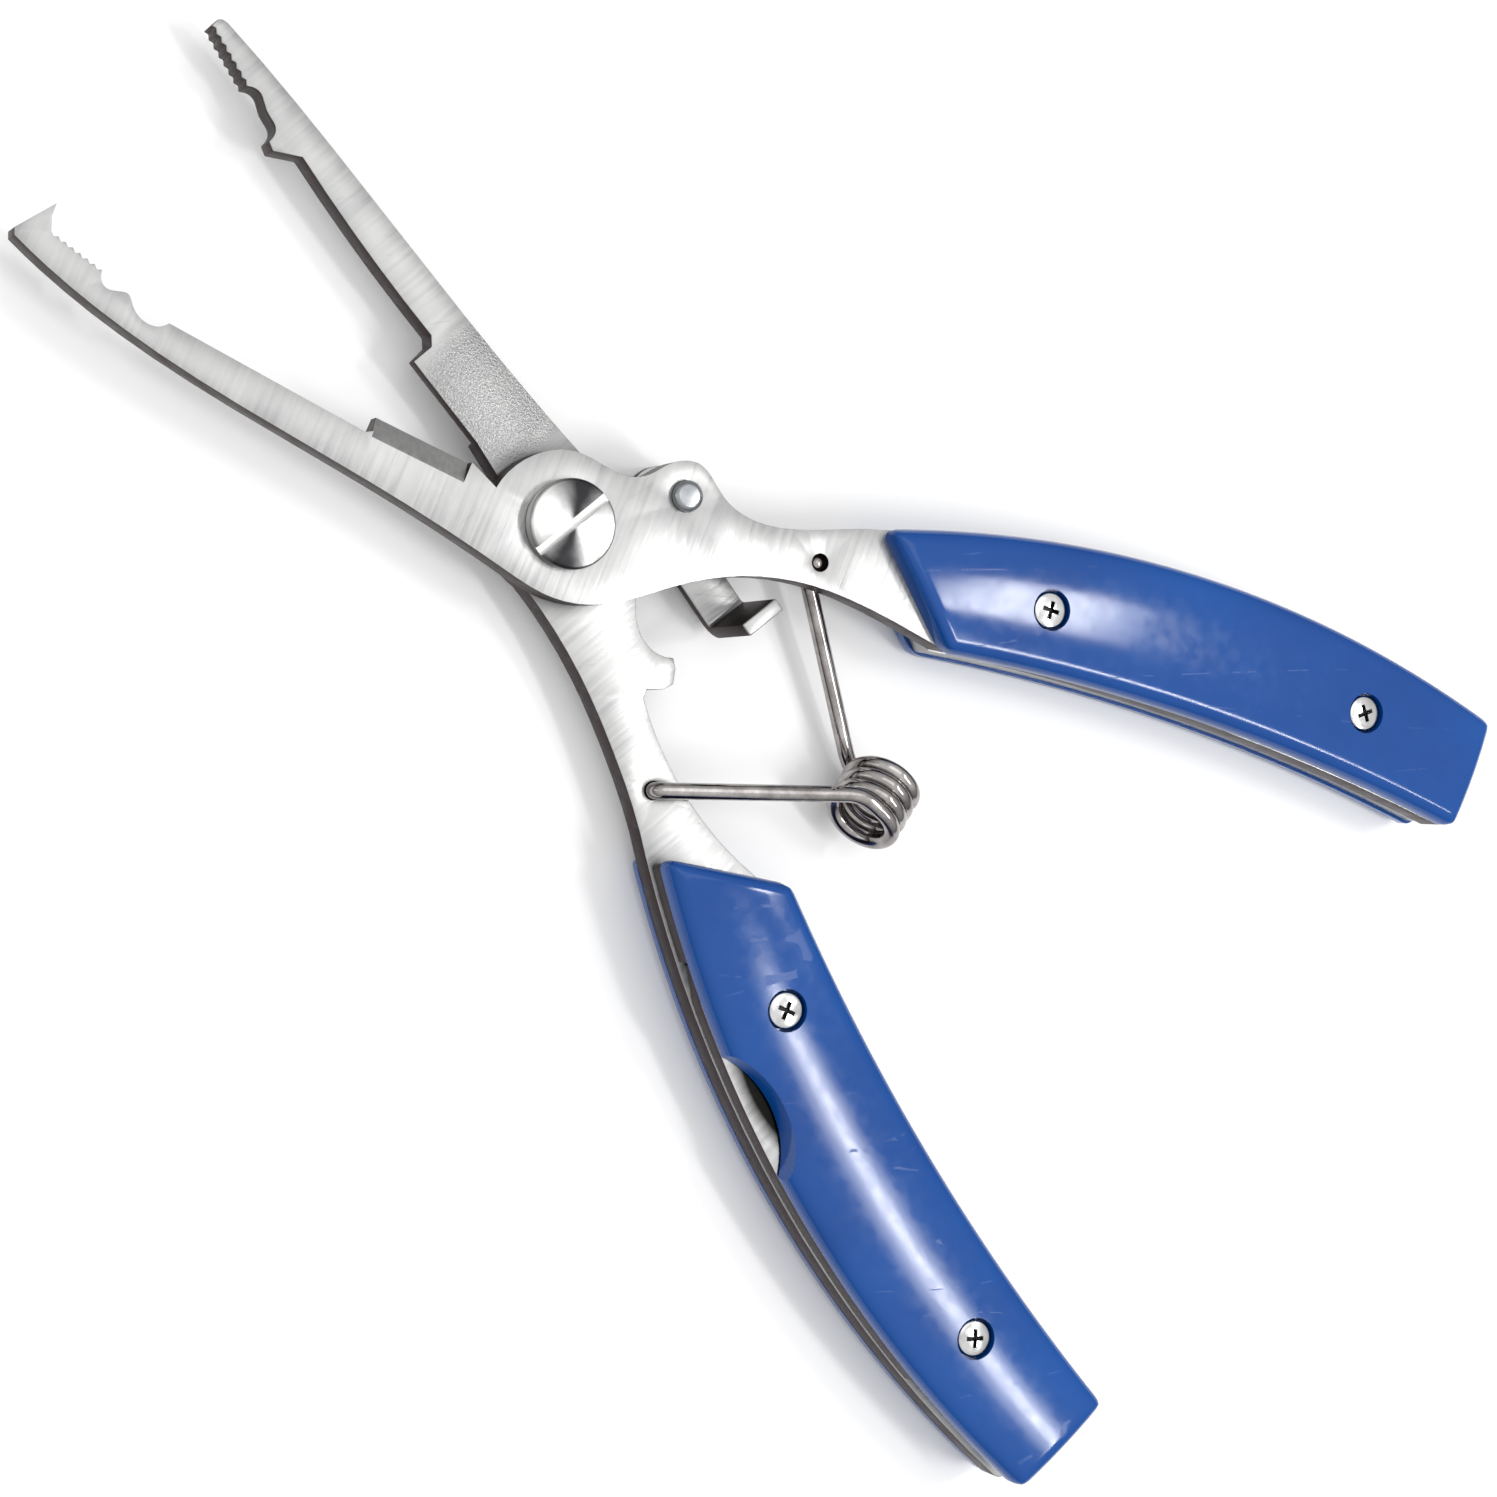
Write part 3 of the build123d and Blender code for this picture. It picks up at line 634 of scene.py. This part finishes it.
def springPart(keep):  # keep: the side of the cut to keep, and for a leg its side of the axis
    bm = bmesh.new()
    bm.from_mesh(nodes["opening_spring"].data)
    bmesh.ops.remove_doubles(bm, verts=bm.verts, dist=meshing["weld"])
    bmesh.ops.bisect_plane(bm, geom=bm.verts[:] + bm.edges[:] + bm.faces[:], dist=meshing["planeTouch"],
                           plane_co=(spring["cut"] * mm, 0, 0), plane_no=(1, 0, 0),
                           clear_inner=keep == "coil", clear_outer=keep != "coil")
    side = {"front": 1, "rear": -1}.get(keep)
    if side:
        bmesh.ops.delete(bm, geom=[v for v in bm.verts if v.co.y * side < 0], context="VERTS")
    bmesh.ops.holes_fill(bm, edges=[e for e in bm.edges if e.is_boundary], sides=0)
    return bm


def makeSpring():  # the spring cut into the coil and two legs, each leg from its own half to the coil
    coil = finishPiece(springPart("coil"), "springCoil", None, [chrome], ["opening_spring"],
                       spring["smooth"])
    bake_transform(coil)
    for keep, (x, y), side in (("front", spring["frontHole"], 1), ("rear", spring["rearHole"], -1)):
        bm = springPart(keep)
        ends = [v.co.copy() for v in bm.verts if abs(v.co.x - spring["cut"] * mm) < spring["joinWithin"]]
        joint = sum(ends, Vector()) / len(ends)
        hole = turned(x, y, 0, side)
        hole.z = joint.z
        leg = finishPiece(bm, f"spring{keep.title()}Leg", None, [chrome], ["opening_spring"],
                          spring["smooth"])
        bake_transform(leg)


makeSpring()
plate("spacer_dowel", "dowel", "rear", 0.1, nutSteel, -1)
for washer in ("blade_washer_front", "blade_washer_back"):
    plate(washer, "bladeWasher" + washer.split("_")[2].title(), "rear", 0.05, brass, -1)
print("stage: spring and washers")

# blue scales
blue = {"main": (0.002, 0.064, 0.285), "deep": (0.002, 0.048, 0.232), "rough": (0.08, 0.15),
        "cloud": 60.0, "dust": (700.0, 4.0, 0.65), "ripple": (90.0, 2.0), "markTurn": 0.9, "markScale": 170.0,
        "markWidth": 0.005, "markRough": 0.15, "markDepth": -0.04, "bump": 0.06, "bumpDepth": 0.0004,
        "ior": 1.5, "specular": 0.34}
handle = {"front": (32.9, 14.9), "back": (44.7, 5.6), "inner": (79.3, 12.3), "outer": (73.4, 27.4),
          "buttInner": (113.9, 14.3), "buttOuter": (113.9, 27.8), "length": 81.0, "width": 14.0,
          "corner": 1.5, "wall": 1.2, "round": 1.7, "crown": 0.5, "thick": 3.0,
          "rows": (150, 40), "crowd": 0.72}


def blueMaterial():
    material, tree, shader = newMaterial("bluePlastic")
    coords = objectCoords(tree)
    marks = useGroup(tree, scratches, Vector=coords, Angle=blue["markTurn"], Scale=blue["markScale"],
                     Width=blue["markWidth"])
    cloud = spread(tree, noise(tree, coords, blue["cloud"]), 0.0, 1.0)
    colour = blendColor(tree, cloud, blue["deep"], blue["main"])
    dust = spread(tree, noise(tree, coords, *blue["dust"]), *blue["rough"])
    tree.links.new(colour, shader.inputs["Base Color"])
    tree.links.new(maths(tree, "ADD", dust, maths(tree, "MULTIPLY", marks["Scratch"], blue["markRough"])),
                   shader.inputs["Roughness"])
    ripple = maths(tree, "ADD", noise(tree, coords, *blue["ripple"]),
                   maths(tree, "MULTIPLY", marks["Scratch"], blue["markDepth"]))
    addBump(tree, shader, ripple, blue["bump"], blue["bumpDepth"])
    shader.inputs["IOR"].default_value = blue["ior"]
    shader.inputs["Specular IOR Level"].default_value = blue["specular"]
    return material


def alongArc(a, b, c, part):  # a point on the arc from a to c through b
    ax, ay, bx, by, cx, cy = *a, *b, *c
    d = 2 * (ax * (by - cy) + bx * (cy - ay) + cx * (ay - by))
    sa, sb, sc = ax * ax + ay * ay, bx * bx + by * by, cx * cx + cy * cy
    ux = (sa * (by - cy) + sb * (cy - ay) + sc * (ay - by)) / d
    uy = (sa * (cx - bx) + sb * (ax - cx) + sc * (bx - ax)) / d
    r = math.hypot(ax - ux, ay - uy)
    start, end = math.atan2(ay - uy, ax - ux), math.atan2(cy - uy, cx - ux)
    angle = start + (end - start) * part
    return ux + r * math.cos(angle), uy + r * math.sin(angle)


def packed(part):  # crowds a grid's rows towards its two ends
    return 0.5 - 0.5 * math.copysign(abs(1 - 2 * part) ** handle["crowd"], 1 - 2 * part)


def crownedScale(side, bottom, faceUp):
    h = handle
    bm = bmesh.new()
    bmesh.ops.create_grid(bm, x_segments=h["rows"][0], y_segments=h["rows"][1], size=0.5)
    for vert in bm.verts:
        b, a = packed(vert.co.x + 0.5) * h["length"], packed(vert.co.y + 0.5) * h["width"]
        inA, inB = min(a, h["width"] - a), min(b, h["length"] - b)
        rise = min(inA, inB)
        if inA < h["corner"] and inB < h["corner"]:  # square corner to round corner
            p, q = 1 - inA / h["corner"], 1 - inB / h["corner"]
            p, q = p * math.sqrt(1 - q * q / 2), q * math.sqrt(1 - p * p / 2)
            a = h["corner"] * (1 - p) if a < h["width"] / 2 else h["width"] - h["corner"] * (1 - p)
            b = h["corner"] * (1 - q) if b < h["length"] / 2 else h["length"] - h["corner"] * (1 - q)
        u, v = b / h["length"], a / h["width"]
        inner = alongArc(h["back"], h["inner"], h["buttInner"], u)
        outer = alongArc(h["front"], h["outer"], h["buttOuter"], u)
        x, y = inner[0] + (outer[0] - inner[0]) * v, inner[1] + (outer[1] - inner[1]) * v
        near = 1 - min(rise / h["round"], 1.0)
        top = h["wall"] + (h["thick"] - h["crown"] - h["wall"]) * math.sqrt(max(0.0, 1 - near * near))
        top += h["crown"] * (1 - (2 * v - 1) ** 2)
        vert.co = turned(x, side * y, bottom + top if faceUp else bottom + h["thick"] - top, side)
    made = bmesh.ops.extrude_edge_only(bm, edges=[e for e in bm.edges if e.is_boundary])["geom"]
    for vert in made:
        if isinstance(vert, bmesh.types.BMVert):
            vert.co.z = (bottom if faceUp else bottom + h["thick"]) * mm
    bmesh.ops.contextual_create(bm, geom=[e for e in bm.edges if e.is_boundary])
    bmesh.ops.recalc_face_normals(bm, faces=bm.faces)
    return bm


def drill(place, radius, low, high, flare=1.0, narrow=1.0, turn=0.0):
    bm = bmesh.new()
    bmesh.ops.create_cone(bm, cap_ends=True, segments=72, radius1=radius * mm, radius2=radius * flare * mm,
                          depth=(high - low) * mm)
    bmesh.ops.scale(bm, vec=(1, narrow, 1), verts=bm.verts)
    bmesh.ops.rotate(bm, matrix=Matrix.Rotation(turn, 3, "Z"), verts=bm.verts)
    bmesh.ops.translate(bm, vec=(place.x, place.y, (low + high) / 2 * mm), verts=bm.verts)
    return cutter(bm)


holes = {"places": [(54.2, 15.0), (96.6, 21.4)], "counterbore": 2.3, "sunk": 1.6, "screw": 1.55,
         "pocket": 2.9, "pocketDepth": 2.0, "past": 1, "through": 4}
notch = {"place": (58.9, 31.0), "long": 10.5, "narrow": 0.857, "flare": 1.07, "past": 0.5}


def makeScale(node, name, body, side, faceUp, material):
    bottom = frontFace if faceUp else 0.0
    piece = finishPiece(crownedScale(side, bottom, faceUp), name, body, [], [node])
    tools = []
    for x, y in holes["places"]:
        place = turned(x, side * y, 0, side)
        if faceUp:
            tools += [drill(place, holes["counterbore"], scaleTop - holes["sunk"], scaleTop + holes["past"]),
                      drill(place, holes["screw"], frontFace - holes["past"], scaleTop)]
        else:
            tools += [drill(place, holes["pocket"], -holes["past"], holes["pocketDepth"]),
                      drill(place, holes["screw"], -holes["past"], holes["through"])]
    if node == "lower_front_scale":
        place = turned(notch["place"][0], side * notch["place"][1], 0, side)
        tools.append(drill(place, notch["long"], frontFace - notch["past"], scaleTop + notch["past"],
                           notch["flare"], notch["narrow"], side * halfTurn))
    cutBy(piece, tools)
    resmooth(piece, material, 38)


bluePlastic = blueMaterial()
makeScale("upper_front_scale", "upperFrontScale", "front", 1, True, bluePlastic)
makeScale("upper_back_scale", "upperBackScale", "front", 1, False, bluePlastic)
makeScale("lower_front_scale", "lowerFrontScale", "rear", -1, True, bluePlastic)
makeScale("lower_back_scale", "lowerBackScale", "rear", -1, False, bluePlastic)
print("stage: scales")
